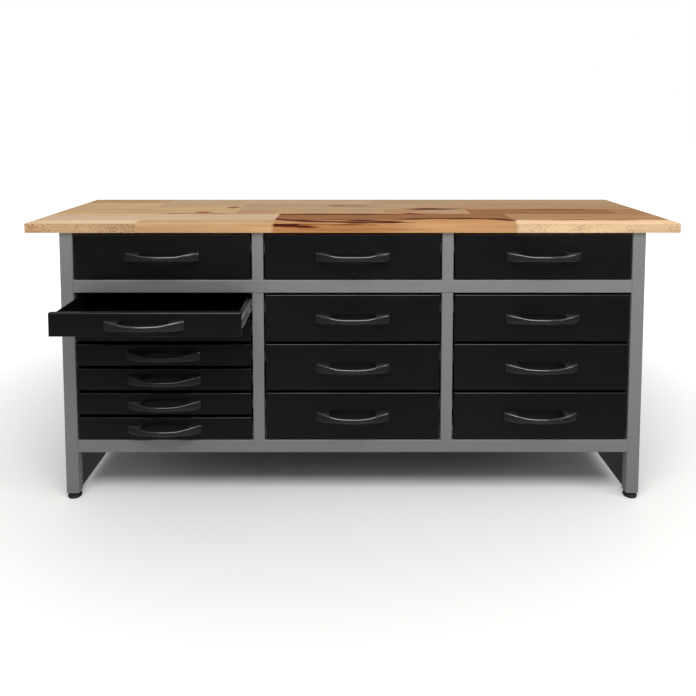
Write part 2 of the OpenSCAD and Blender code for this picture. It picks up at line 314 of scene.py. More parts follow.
@dataclass(frozen=True)
class OiledBeech:
    """Oiled beech with red heart, glued up from staves: growth rings, fine fibres, short dark rays and heart stain.

    It reads what the board's mesh carries for each stave: stave_tone_and_face_light, its colour; stave_shift, where
    its pith lies;
    stave_marks, its ray strength, its ring strength and whether it is a glue line; and stain, the heart's dark lines.
    A stave's top and front edge carry copies of one colour that differ by painted light.  Each span is where a value
    starts to show and where it shows in full.
    """

    name: str = "oiled_beech"
    stain: str = "#441708"
    heart: str = "#8d4c26"
    late_wood: str = "#8c5d3a"
    ray: str = "#80502f"
    glue: str = "#6b4527"
    roughness: float = 0.66
    specular: float = 0.12
    glossier: float = 0.05
    duller: float = 0.08
    ring_mm: float = 6.0
    ring_bend_m: float = 0.05
    taper: float = 0.004
    fibre_mm: float = 3.0
    fibre_stretch: float = 40.0
    fibre_strength: float = 0.15
    fibre_depth_mm: float = 0.3
    darkest: float = 0.80
    lightest: float = 1.14
    ray_mm: float = 3.2
    ray_stretch: float = 0.6
    ray_span: tuple[float, float] = (0.72, 0.84)
    flock_scale: float = 14.0
    flock_pull: float = 0.35
    fraying: float = 0.7
    rim_span: tuple[float, float, float, float] = (0.40, 0.85, 0.0, 0.7)
    heart_span: tuple[float, float] = (0.72, 1.35)
    fibre_span: tuple[float, float] = (0.7, 1.3)

    def material(self) -> bpy.types.Material:
        """Makes the material.

        The rings are cylinders round each stave's pith: the distance from the pith, bent by slow noise and by the
        taper of the trunk, divided by the ring's width.  Each ring darkens outwards as the cube of the way across it.
        """
        made, tree, shader = start(self.name, Roughness=self.roughness, Specular_IOR_Level=self.specular)
        place = add(tree, "TexCoord").outputs["Object"]
        tone, shift, marks, stained = (add(tree, "Attribute", attribute_name=name)
                                       for name in ("stave_tone_and_face_light", "stave_shift", "stave_marks", "stain"))
        rays_of, rings_of, glue_of = add(tree, "SeparateXYZ", {0: marks.outputs["Vector"]}).outputs
        own = add(tree, "VectorMath", {0: place, 1: shift.outputs["Vector"]}, operation="ADD").outputs[0]

        slow = add(tree, "Mapping", {"Vector": own, "Scale": (1.6, 9.0, 9.0)})
        wander = add(tree, "TexNoise", {"Vector": slow.outputs[0], "Scale": 1.0, "Detail": 3.0, "Roughness": 0.55})
        flat = add(tree, "VectorMath", {0: own, 1: (self.taper, 1.0, 1.0)}, operation="MULTIPLY")
        radius = add(tree, "VectorMath", {0: flat.outputs[0]}, operation="LENGTH")
        bent = add(tree, "Math", {0: wander.outputs[0], 1: self.ring_bend_m, 2: radius.outputs["Value"]},
                   operation="MULTIPLY_ADD")
        count = add(tree, "Math", {0: bent.outputs[0], 1: PER_M / self.ring_mm}, operation="MULTIPLY")
        across = add(tree, "Math", {0: count.outputs[0]}, operation="FRACT")
        late = add(tree, "Math", {0: across.outputs[0], 1: 3.0}, operation="POWER")
        ringed = add(tree, "Math", {0: late.outputs[0], 1: rings_of}, operation="MULTIPLY")
        toned = blend(tree, ringed.outputs[0], tone.outputs["Color"], linear(self.late_wood))

        # Fibres: noise drawn out along the stave, and broader bands of it, both light and dark.
        fine = PER_M / self.fibre_mm
        drawn = add(tree, "Mapping", {"Vector": own, "Scale": (fine / self.fibre_stretch, fine, fine)})
        fibre = add(tree, "TexNoise", {"Vector": drawn.outputs[0], "Scale": 1.0, "Detail": 3.0, "Roughness": 0.6})
        wide = add(tree, "Mapping", {"Vector": own, "Scale": (2.5, 45.0, 45.0)})
        band = add(tree, "TexNoise", {"Vector": wide.outputs[0], "Scale": 1.0, "Detail": 2.0})
        both = add(tree, "Math", {0: fibre.outputs[0], 1: band.outputs[0]}, operation="ADD").outputs[0]
        dim = ramp(tree, both, *self.fibre_span, self.darkest, self.lightest)
        shaded = add(tree, "VectorMath", {0: toned, 1: dim}, operation="MULTIPLY")

        # Rays: real ones are 1 to 3 mm long and a third as wide; drawn to this size so that they show, in flocks.
        specks = PER_M / self.ray_mm
        short = add(tree, "Mapping", {"Vector": own, "Scale": (specks * self.ray_stretch, specks, specks)})
        speck = add(tree, "TexNoise", {"Vector": short.outputs[0], "Scale": 1.0, "Detail": 1.0})
        flock = add(tree, "TexNoise", {"Vector": own, "Scale": self.flock_scale, "Detail": 1.0})
        dense = add(tree, "Math", {0: flock.outputs[0], 1: self.flock_pull, 2: speck.outputs[0]},
                    operation="MULTIPLY_ADD")
        rays = ramp(tree, dense.outputs[0], *self.ray_span, smooth=True)
        rayed = add(tree, "Math", {0: rays, 1: rays_of}, operation="MULTIPLY")
        flecked = blend(tree, rayed.outputs[0], shaded.outputs[0], linear(self.ray))

        # The heart's lines fray along the fibres, with a redder rim.
        frayed = add(tree, "Math", {0: fibre.outputs[0], 1: self.fraying, 2: stained.outputs["Fac"]},
                     operation="MULTIPLY_ADD").outputs[0]
        rimmed = blend(tree, ramp(tree, frayed, *self.rim_span, True), flecked, linear(self.heart))
        hearted = blend(tree, ramp(tree, frayed, *self.heart_span, smooth=True), rimmed, linear(self.stain))
        jointed = blend(tree, glue_of, hearted, linear(self.glue))
        gloss = ramp(tree, both, *self.fibre_span, self.roughness + self.duller, self.roughness - self.glossier)
        cover(tree, shader, jointed, gloss, fibre.outputs[0], self.fibre_strength, self.fibre_depth_mm)
        return made


# ------------------------------------------------------------------------------------------------ shapes


def corners(node: str) -> tuple[np.ndarray, np.ndarray]:
    """The lowest and the highest corner of a CAD node's box."""
    low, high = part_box(node)
    return np.array(low), np.array(high)


def smooth_step(t: np.ndarray) -> np.ndarray:
    """A smooth way from 0 to 1: t squared times (3 less twice t)."""
    return t * t * (3.0 - 2.0 * t)


def corner_ring(half_u: np.ndarray, half_v: np.ndarray, radius: np.ndarray, steps: int) -> np.ndarray:
    """Rings of a rectangle with rounded corners, one for each entry of the arrays.

    Each ring goes round counter-clockwise: at corner k the angle runs over a quarter turn from k times a quarter
    turn, and a point is the corner's centre plus the radius times (cosine, sine).

    Args:
        half_u: half widths, one for each ring.
        half_v: half heights.
        radius: corner radii.
        steps: steps in each quarter turn.

    Returns:
        Points, shaped (rings, 4 * (steps + 1), 2).
    """
    quarter = np.arange(4)[:, None] * (math.pi / 2) + np.linspace(0.0, math.pi / 2, steps + 1)[None, :]
    sign_u = np.array([1.0, -1.0, -1.0, 1.0])[:, None]
    sign_v = np.array([1.0, 1.0, -1.0, -1.0])[:, None]
    r = np.asarray(radius, float).reshape(-1, 1, 1)
    u = sign_u * (np.asarray(half_u, float).reshape(-1, 1, 1) - r) + r * np.cos(quarter)
    v = sign_v * (np.asarray(half_v, float).reshape(-1, 1, 1) - r) + r * np.sin(quarter)
    return np.stack([u, v], -1).reshape(len(r), -1, 2)


def turn(profile: np.ndarray, centre: tuple[float, float, float], steps: int = 48, sides: int = 0) -> np.ndarray:
    """A profile turned round a vertical line.

    A point is the centre plus the profile's radius times (cosine, sine) of the angle, at the profile's height.
    With sides, the radius is divided by the cosine of the angle from the middle of the nearest side, which makes
    a prism with that many flats.

    Args:
        profile: rows of (radius, height).
        centre: the line's foot.
        steps: steps round the turn.
        sides: number of flats, or 0 for a round piece.

    Returns:
        Points, shaped (rows, steps, 3).
    """
    angle = np.arange(steps) * (2 * math.pi / steps)
    flat = np.ones(steps)
    if sides:
        wedge = 2 * math.pi / sides
        flat = 1.0 / np.cos((angle + wedge / 2) % wedge - wedge / 2)
    radius = profile[:, :1] * flat[None, :]
    x = centre[0] + radius * np.cos(angle)
    y = centre[1] + radius * np.sin(angle)
    z = centre[2] + np.repeat(profile[:, 1:2], steps, 1)
    return np.stack([x, y, z], -1)


def dish(profile: np.ndarray, size: tuple[float, float], radius: float, centre: tuple[float, float, float],
         axis: Axis, steps: int = 3) -> np.ndarray:
    """Rings of a rounded rectangle, each pulled in and raised as the profile says, such as a tray or a pan.

    Args:
        profile: rows of (how far in from the outline, height along the depth's direction).
        size: the outline's full width and height.
        radius: the outline's corner radius.
        centre: where the middle of the outline stands.
        axis: which way the dish opens.
        steps: steps in each rounded corner.

    Returns:
        Points, shaped (rows, ring, 3).
    """
    inset = profile[:, 0]
    smallest = 0.15 * MM
    r = np.maximum(radius - inset, smallest)
    ring = corner_ring(size[0] / 2 - inset, size[1] / 2 - inset, r, steps)
    points = np.zeros(ring.shape[:2] + (3,))
    u, v, w = axis.value
    points[..., u] = centre[u] + ring[..., 0]
    points[..., v] = centre[v] + ring[..., 1]
    points[..., w] = centre[w] + profile[:, 1][:, None]
    return points


def fold(centre: tuple[float, float], radius: float, start_deg: float, end_deg: float, steps: int = 4) -> np.ndarray:
    """Points of an arc in a profile: the centre plus the radius times (cosine, sine) of evenly spaced angles."""
    angle = np.radians(np.linspace(start_deg, end_deg, steps + 1))
    return np.array(centre) + radius * np.stack([np.cos(angle), np.sin(angle)], -1)


def pan_head(place: tuple[float, float, float], radius: float) -> np.ndarray:
    """Rings of a screw's pan head that faces +Y: a dome whose radius falls with the cosine as it rises with the sine.

    Args:
        place: the middle of its seat.
        radius: its radius at the seat.

    Returns:
        Points, shaped (rows, ring, 3).
    """
    angle = np.radians(np.linspace(0.0, 80.0, 5))
    dome = 0.45 * radius
    head = turn(np.stack([radius * np.cos(angle), dome * np.sin(angle)], -1), (0.0, 0.0, 0.0), 16)
    return np.stack([place[0] + head[..., 0], place[1] + head[..., 2], place[2] + head[..., 1]], -1)


@dataclass
class Shell:
    """One piece of the bench in the making: closed skins of points that become one mesh."""

    name: str
    points: list[np.ndarray] = field(default_factory=list)
    faces: list[list[int]] = field(default_factory=list)
    count: int = 0

    def skin(self, rings: np.ndarray, caps: bool = True) -> None:
        """Adds rows of rings as one closed skin, a polygon at each end, turned so that it faces outwards.

        The signed volume, a sixth of the sum of each triangle's corner a dot (b cross c), says which way it faces.

        Args:
            rings: points, shaped (rows, ring, 3).
            caps: whether the first and the last ring are closed with a polygon.
        """
        rows, ring = rings.shape[:2]
        index = np.arange(rows * ring).reshape(rows, ring)
        after = np.roll(index, -1, axis=1)
        quads = np.stack([index[:-1], index[1:], after[1:], after[:-1]], -1).reshape(-1, 4)
        flat = rings.reshape(-1, 3)
        a, b, c, d = (flat[quads[:, k]] - flat.mean(0) for k in range(4))
        volume = np.sum(a * np.cross(b, c)) + np.sum(a * np.cross(c, d))
        ends = [index[0], index[-1][::-1]] if caps else []
        flip = volume < 0
        quads = quads[:, ::-1] if flip else quads
        ends = [e[::-1] for e in ends] if flip else ends
        self.faces += (quads + self.count).tolist() + [(e + self.count).tolist() for e in ends]
        self.points.append(flat)
        self.count += len(flat)

    def build(self, material: bpy.types.Material, body: str, slot: Slot, sharp_deg: float = 32.0) -> bpy.types.Object:
        """Makes the mesh, gives it its finish, and lets it ride on its body.

        Args:
            material: the finish.
            body: the CAD body it moves with.
            slot: the record's material slot; not used.
            sharp_deg: edges that turn by more than this stay sharp.

        Returns:
            The object, at the origin.
        """
        mesh = bpy.data.meshes.new(self.name)
        mesh.from_pydata(np.concatenate(self.points), [], self.faces)
        mesh.polygons.foreach_set("use_smooth", np.ones(len(mesh.polygons), bool))
        mesh.set_sharp_from_angle(angle=math.radians(sharp_deg))
        mesh.materials.append(material)
        mesh.update()
        made = bpy.data.objects.new(self.name, mesh)
        bpy.context.scene.collection.objects.link(made)
        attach(made, body)
        LOG.info("%s: %d faces, rides on %s", self.name, len(mesh.polygons), body)
        return made


def dress(node: str, material: bpy.types.Material) -> None:
    """Gives a CAD node, whose shape stays as it is, its finish."""
    mesh = frame["nodes"][node].data
    mesh.materials.clear()
    mesh.materials.append(material)
    LOG.info("%s: CAD mesh, finish %s", node, material.name)


# ------------------------------------------------------------------------------------------------ worktop


@dataclass(frozen=True)
class Stave:
    """One piece of wood in a row of the board: where it ends, its colours, and how strongly it is figured."""

    end_mm: float
    # The top's and the edge's tones are copies of one wood's colour, set apart to match how light falls on the top
    # and on the upright edge: the difference between them is painted light.
    top: str
    edge: str = ""
    rays: float = 0.12
    rings: float = 0.30


@dataclass(frozen=True)
class StainLine:
    """One dark line of the heart, as points of (X, distance from the front arris) in mm, its width and strength.

    The distance goes back over the top, or down the front edge for a line on the edge.  An end that is cut off by a
    joint is blunt; the others run out to a point.
    """

    path: tuple[tuple[float, float], ...]
    width_mm: float
    strength: float = 1.0
    on_edge: bool = False
    blunt: tuple[bool, bool] = (False, False)


@dataclass(frozen=True)
class PaleSap:
    """Paler wood beside the heart, between the front arris and a line of (X, distance back) in mm.

    The edge's tone, if there is one, comes in over 160 mm and holds over the same stretch of the front edge; it
    differs from the top's tone by painted light.
    """

    path: tuple[tuple[float, float], ...]
    top: str
    edge: str = ""


@dataclass
class Worktop:
    """The glued board, as one closed mesh whose faces know which stave they belong to.

    A row is how far back it reaches, in mm behind the front edge, and its staves from the left.  A wave is its
    height and its length in mm, the length as the divisor of X, and its phase.  The stains' ends rise and fall over
    these shares of a line's length, from the tips' own share of the full width and strength.
    """

    edge_mm: float = 2.0
    arris_mm: float = 0.8
    glue_mm: float = 0.9
    clear_of_glue: float = 2.2
    step_x_mm: float = 10.0
    step_y_mm: float = 6.0
    finger_mm: float = 4.5
    thick_mm: float = 30.0
    surface_mm: float = 875.0
    pith_row_mm: float = 40.0
    pith_aside_m: float = 0.05
    pith_deep_m: tuple[float, float] = (0.05, 0.16)
    pith_along_m: float = 3.0
    front_facing: float = 0.6
    top_facing: float = 0.3
    top_rays: float = 0.10
    joint_dark: float = 0.55
    seam_dark: float = 0.40
    sap_blend_mm: float = 160.0
    waves: tuple[tuple[float, float, float], ...] = ((2.2, 41.0, 0.0), (1.4, 17.0, 1.0), (0.8, 7.0, 2.0))
    edge_wave: float = 0.3
    overrun_mm: float = 14.0
    along_pull: float = 0.15
    rise: float = 0.30
    fall: float = 0.35
    tip_width: float = 0.25
    tip_strength: float = 0.55
    swell: float = 0.18
    swell_mm: float = 23.0
    rows: tuple[tuple[float, tuple[Stave, ...]], ...] = (
        (66.0, (Stave(-665, "#e2c5a0", "#bb9975", 0.75, 0.10), Stave(-243, "#c4a378", "#b99268", 0.06, 0.12),
                Stave(501, "#bf8d5e", "#a77648", 0.10, 0.35), Stave(1000, "#f3cda4", "#caac86", 0.5, 0.12))),
        (202.0, (Stave(-243, "#d3b695"), Stave(505, "#976742", rings=0.45), Stave(1000, "#b38a61"))),
        (315.0, (Stave(-390, "#cca87d"), Stave(-262, "#b8916d"), Stave(110, "#be9c73"), Stave(250, "#bb916b"),
                 Stave(398, "#bd9673"), Stave(540, "#9e6c4b"), Stave(890, "#996c45"), Stave(1000, "#ad7d56"))),
        (400.0, (Stave(-390, "#ccaa83"), Stave(230, "#bea17d"), Stave(1000, "#b8926d"))),
        (483.0, (Stave(-700, "#d3b188"), Stave(-390, "#c3a481"), Stave(420, "#bfa07f"), Stave(1000, "#b59672"))),
        (600.0, (Stave(-700, "#c19e75"), Stave(80, "#c6aa89"), Stave(1000, "#be9f7c"))),
    )
    stains: tuple[StainLine, ...] = (
        StainLine(((-243, 88), (-187, 62), (-125, 40), (-60, 27), (20, 17), (110, 12), (190, 8)), 14.0, 1.5,
                  blunt=(True, False)),
        StainLine(((-40, 66), (40, 54), (100, 36), (150, 16), (185, 6)), 14.0, 1.5),
        StainLine(((-130, 74), (-60, 68), (10, 64)), 9.0, 0.8),
        StainLine(((90, 80), (162, 82), (250, 95), (350, 98), (437, 88), (500, 58)), 12.0, 1.3,
                  blunt=(False, True)),
        StainLine(((-240, 190), (-60, 190), (120, 186), (215, 170)), 13.0, 1.15, blunt=(True, False)),
        StainLine(((165, 218), (215, 196), (240, 178)), 14.0, 0.9),
        StainLine(((170, 322), (240, 319), (300, 321), (400, 323)), 15.0, 1.9),
        StainLine(((-120, 404), (0, 407), (90, 402)), 11.0, 0.85),
        StainLine(((540, 312), (700, 309), (880, 306)), 10.0, 0.75),
        StainLine(((-450, 373), (-402, 361)), 24.0, 0.75),
        StainLine(((-540, 244), (-470, 238)), 18.0, 0.65),
        StainLine(((-700, 205), (-520, 208), (-330, 204)), 9.0, 0.6),
        StainLine(((520, 62), (760, 66), (1000, 70)), 9.0, 0.65),
        StainLine(((-243, 5), (-190, 8), (-90, 13)), 4.4, 1.5, True, (True, False)),
        StainLine(((-243, 2), (-60, 3), (60, 5), (130, 3)), 2.2, 1.0, True, (True, False)),
        StainLine(((-230, 18), (0, 20), (300, 17)), 2.5, 0.45, True),
    )
    sap: tuple[PaleSap, ...] = (
        PaleSap(((128, 0), (165, 58), (250, 86), (350, 90), (437, 80), (500, 48)), "#c5925f", "#b4895e"),
        PaleSap(((-40, 0), (-20, 22), (20, 34), (70, 26), (100, 0)), "#bb8a5c"),
    )

    def lines(self, low: float, high: float, step: float, marks: np.ndarray) -> np.ndarray:
        """Grid lines from low to high that hold both sides of every glue line and are nowhere far apart.

        Args:
            low: first line.
            high: last line.
            step: greatest spacing.
            marks: where the glue lines lie.

        Returns:
            Sorted positions in metres.
        """
        glue = self.glue_mm * MM / 2
        even = np.linspace(low, high, int((high - low) / step) + 1)
        clear = np.abs(even[:, None] - marks[None, :]).min(1) > self.clear_of_glue * glue
        clear[[0, -1]] = True
        return np.unique(np.concatenate([even[clear], marks - glue, marks + glue]).round(6))

    def stained(self, x: np.ndarray, v: np.ndarray) -> np.ndarray:
        """How strongly each point is stained by the heart.

        For each line: e to the power of less the square of the distance to its path, after the point was moved by
        the waves, over the square of the width; the strongest line counts.  The width grows from each pointed end
        by a smooth step of the share of the path's length, and swells and shrinks with a sine.

        Args:
            x: positions along the board, in mm.
            v: distances from the front arris, in mm: back over the top, or below 0 down the front edge.

        Returns:
            Strengths from 0 up.
        """
        edge = v < -1.0
        wave = sum(height * np.sin(x / length + phase) for height, length, phase in self.waves)
        wavy = np.where(edge, -v + self.edge_wave * wave, v + wave)
        best = np.zeros(len(x))
        for line in self.stains:
            path = np.array(line.path, float)
            within = (x > path[0, 0] - 1.0) & (x < path[-1, 0] + self.overrun_mm)
            share = np.where((edge == line.on_edge) & within, line.strength, 0.0)
            span = np.concatenate([[0.0], np.cumsum(np.hypot(*np.diff(path, axis=0).T))])
            for k, (a, b) in enumerate(zip(path[:-1], path[1:])):
                way = b - a
                t = np.clip(((x - a[0]) * way[0] + (wavy - a[1]) * way[1]) / (way @ way), 0.0, 1.0)
                off = (x - a[0] - t * way[0]) ** 2 * self.along_pull + (wavy - a[1] - t * way[1]) ** 2
                along = (span[k] + t * (span[k + 1] - span[k])) / span[-1]
                rise = np.clip(along / self.rise + float(line.blunt[0]), 0.0, 1.0)
                fall = np.clip((1.0 - along) / self.fall + float(line.blunt[1]), 0.0, 1.0)
                full = smooth_step(rise) * smooth_step(fall)
                swell = 1.0 + self.swell * np.sin(x / self.swell_mm + line.width_mm)
                wide = line.width_mm * (self.tip_width + (1.0 - self.tip_width) * full) * swell
                dark = share * (self.tip_strength + (1.0 - self.tip_strength) * full)
                best = np.maximum(best, dark * np.exp(-off / wide ** 2))
        return best

    def build(self, finish: OiledBeech) -> bpy.types.Object:
        """Builds the board.

        The section goes round from the top's back edge over the top, down the front edge, along the underside and
        up the back, with a quarter circle at each arris.  It is carried along X, line by line.  At a joint the front
        edge's lines are moved to and fro, which draws the finger joint.  The end sections are clipped by the arris.

        Args:
            finish: the wood.

        Returns:
            The board's object.
        """
        low, high = corners("worktop")
        r = self.edge_mm * MM
        depths = np.array([row[0] for row in self.rows])
        seams = low[1] + depths[:-1] * MM
        ends = [np.array([s.end_mm * MM for s in row[1]][:-1]) for row in self.rows]
        joints = np.unique(np.concatenate(ends).round(6))
        ys = self.lines(low[1] + r, high[1] - r, self.step_y_mm * MM, seams)
        xs = self.lines(low[0] + self.arris_mm * MM, high[0] - self.arris_mm * MM, self.step_x_mm * MM, joints)
        xs = np.concatenate([[low[0]], xs, [high[0]]])
        zs = np.linspace(low[2] + r, high[2] - r, 9)[1:-1]

        y0, y1, z0, z1 = low[1] + r, high[1] - r, low[2] + r, high[2] - r
        top = np.stack([ys[::-1], np.full(len(ys), high[2])], -1)
        under = np.stack([ys, np.full(len(ys), low[2])], -1)
        front = np.concatenate([fold((y0, z1), r, 90.0, 180.0)[1:],
                                np.stack([np.full(len(zs), low[1]), zs[::-1]], -1),
                                fold((y0, z0), r, 180.0, 270.0)[:-1]])
        back = np.concatenate([fold((y1, z0), r, 270.0, 360.0)[1:], np.stack([np.full(len(zs), high[1]), zs], -1),
                               fold((y1, z1), r, 0.0, 90.0)[:-1]])
        section = np.concatenate([top, front, under, back])
        return self.finish_mesh(section, xs, ends, depths, len(ys), len(front), finish, low, high)

    def finish_mesh(self, section: np.ndarray, xs: np.ndarray, ends: list[np.ndarray], depths: np.ndarray, n_top: int,
                    n_front: int, finish: OiledBeech, low: np.ndarray, high: np.ndarray) -> bpy.types.Object:
        """Carries the section along X and writes what each face and point knows about its wood.

        Args:
            section: the loop of (y, z), from the back of the top.
            xs: the lines along X.
            ends: for each row, its joints' X.
            depths: each row's far side, in mm behind the front edge.
            n_top: points along the top.
            n_front: points down the front edge.
            finish: the wood.
            low: the board's lowest corner.
            high: the board's highest corner.

        Returns:
            The board's object.
        """
        rings = np.zeros((len(xs), len(section), 3))
        rings[..., 0] = xs[:, None]
        rings[..., 1:] = section[None]
        arris = self.arris_mm * MM
        for k in (0, -1):
            rings[k, :, 1] = np.clip(section[:, 0], low[1] + arris, high[1] - arris)
            rings[k, :, 2] = np.clip(section[:, 1], low[2] + arris, high[2] - arris)
        place = np.arange(len(section))
        on_edge = (place >= n_top) & (place < n_top + n_front)
        zig = np.where(place % 2 == 0, 1.0, -1.0) * self.finger_mm * MM * on_edge
        near = np.abs(xs[:, None] - ends[0][None, :]).min(1) < self.glue_mm * MM
        rings[near, :, 0] += zig[None, :]

        shell = Shell("worktop_board")
        shell.skin(rings, caps=False)
        # Each end section is closed by quads from the top to the underside and by a cap at the front and the back.
        ring, rows = len(section), len(xs)
        ladder = np.arange(n_top - 1)
        below = n_top + n_front + (n_top - 1 - np.arange(n_top))
        for row, flip in ((0, False), (rows - 1, True)):
            base = row * ring
            quads = np.stack([ladder, below[:-1], below[1:], ladder + 1], -1) + base
            nose = np.arange(n_top - 1, n_top + n_front + 1) + base
            tail = np.concatenate([np.arange(2 * n_top + n_front - 1, ring), [0]]) + base
            shell.faces += (quads[:, ::-1] if flip else quads).tolist()
            shell.faces += [(f if flip else f[::-1]).tolist() for f in (nose, tail)]
        board = shell.build(finish.material(), CABINET, Slot.BEECH)
        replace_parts(board, "worktop")
        self.mark(board.data, ends, depths, low)
        return board

    def mark(self, mesh: bpy.types.Mesh, ends: list[np.ndarray], depths: np.ndarray, low: np.ndarray) -> None:
        """Writes each face's stave and each point's stain into the mesh.

        Args:
            mesh: the board's mesh.
            ends: for each row, its joints' X.
            depths: each row's far side, in mm behind the front edge.
            low: the board's lowest corner.
        """
        n = len(mesh.polygons)
        centre, normal = np.zeros(n * 3), np.zeros(n * 3)
        mesh.polygons.foreach_get("center", centre)
        mesh.polygons.foreach_get("normal", normal)
        centre, normal = centre.reshape(-1, 3), normal.reshape(-1, 3)
        in_front, on_top = normal[:, 1] < -self.front_facing, normal[:, 2] > self.top_facing
        x, depth = centre[:, 0] / MM, (centre[:, 1] - low[1]) / MM
        row = np.clip(np.digitize(depth, depths[:-1]), 0, len(depths) - 1)
        tone = np.ones((n, 4), np.float32)
        shift = np.zeros((n, 3), np.float32)
        marks = np.zeros((n, 3), np.float32)
        rng = np.random.default_rng(11)
        for k, (_, staves) in enumerate(self.rows):
            piece = np.digitize(centre[:, 0], ends[k])
            for i, stave in enumerate(staves):
                chosen = (row == k) & (piece == i)
                tone[chosen] = linear(stave.top)
                # The front edge takes its own copy of the stave's tone, apart from the top's by painted light.
                if stave.edge:
                    tone[chosen & in_front] = linear(stave.edge)
                pith = (rng.uniform(-self.pith_along_m, self.pith_along_m),
                        rng.uniform(-self.pith_aside_m, self.pith_aside_m), rng.uniform(*self.pith_deep_m))
                shift[chosen] = (pith[0], -low[1] - (depths[k] - self.pith_row_mm) * MM + pith[1],
                                 pith[2] - self.surface_mm * MM)
                marks[chosen, 0] = np.where(in_front[chosen], stave.rays, self.top_rays)
                marks[chosen, 1] = stave.rings
        for sap in self.sap:
            path = np.array(sap.path, float)
            reach = np.interp(x, path[:, 0], path[:, 1])
            within = (x > path[0, 0]) & (x < path[-1, 0]) & (depth > 0.0) & (depth < reach)
            tone[within & on_top & ~in_front] = linear(sap.top)
            # The sap's front edge blends in its own copy of the tone, apart from the top's by painted light.
            if sap.edge:
                come = np.clip((x - path[0, 0]) / self.sap_blend_mm + 0.5, 0.0, 1.0)
                share = np.where(in_front & (x < path[-1, 0]), come, 0.0)[:, None].astype(np.float32)
                tone += share * (np.array(linear(sap.edge), np.float32) - tone)

        # The glue shows along the rows' seams and at the rearmost row's joints; the other joints are tight.
        at_joint = np.abs(centre[:, :1] - ends[-1][None, :]).min(1) < self.glue_mm * 0.45 * MM
        marks[(row == len(depths) - 1) & at_joint, 2] = self.joint_dark
        at_seam = np.abs(depth[:, None] - depths[:-1][None, :]).min(1) < self.glue_mm * 0.45
        marks[at_seam & ~in_front, 2] = self.seam_dark
        for name, kind, key, values in (("stave_tone_and_face_light", "FLOAT_COLOR", "color", tone),
                                        ("stave_shift", "FLOAT_VECTOR", "vector", shift),
                                        ("stave_marks", "FLOAT_VECTOR", "vector", marks)):
            layer = mesh.attributes.new(name, kind, "FACE")
            layer.data.foreach_set(key, values.ravel())
        points = np.zeros(len(mesh.vertices) * 3)
        mesh.vertices.foreach_get("co", points)
        points = points.reshape(-1, 3) / MM
        over = points[:, 2] > (low[2] / MM + 1.0)
        v = points[:, 1] - low[1] / MM - np.clip(low[2] / MM + self.thick_mm - points[:, 2], 0.0, None)
        stain = np.where(over, self.stained(points[:, 0], v), 0.0).astype(np.float32)
        mesh.attributes.new("stain", "FLOAT", "POINT").data.foreach_set("value", stain)


# ------------------------------------------------------------------------------------------------ drawers


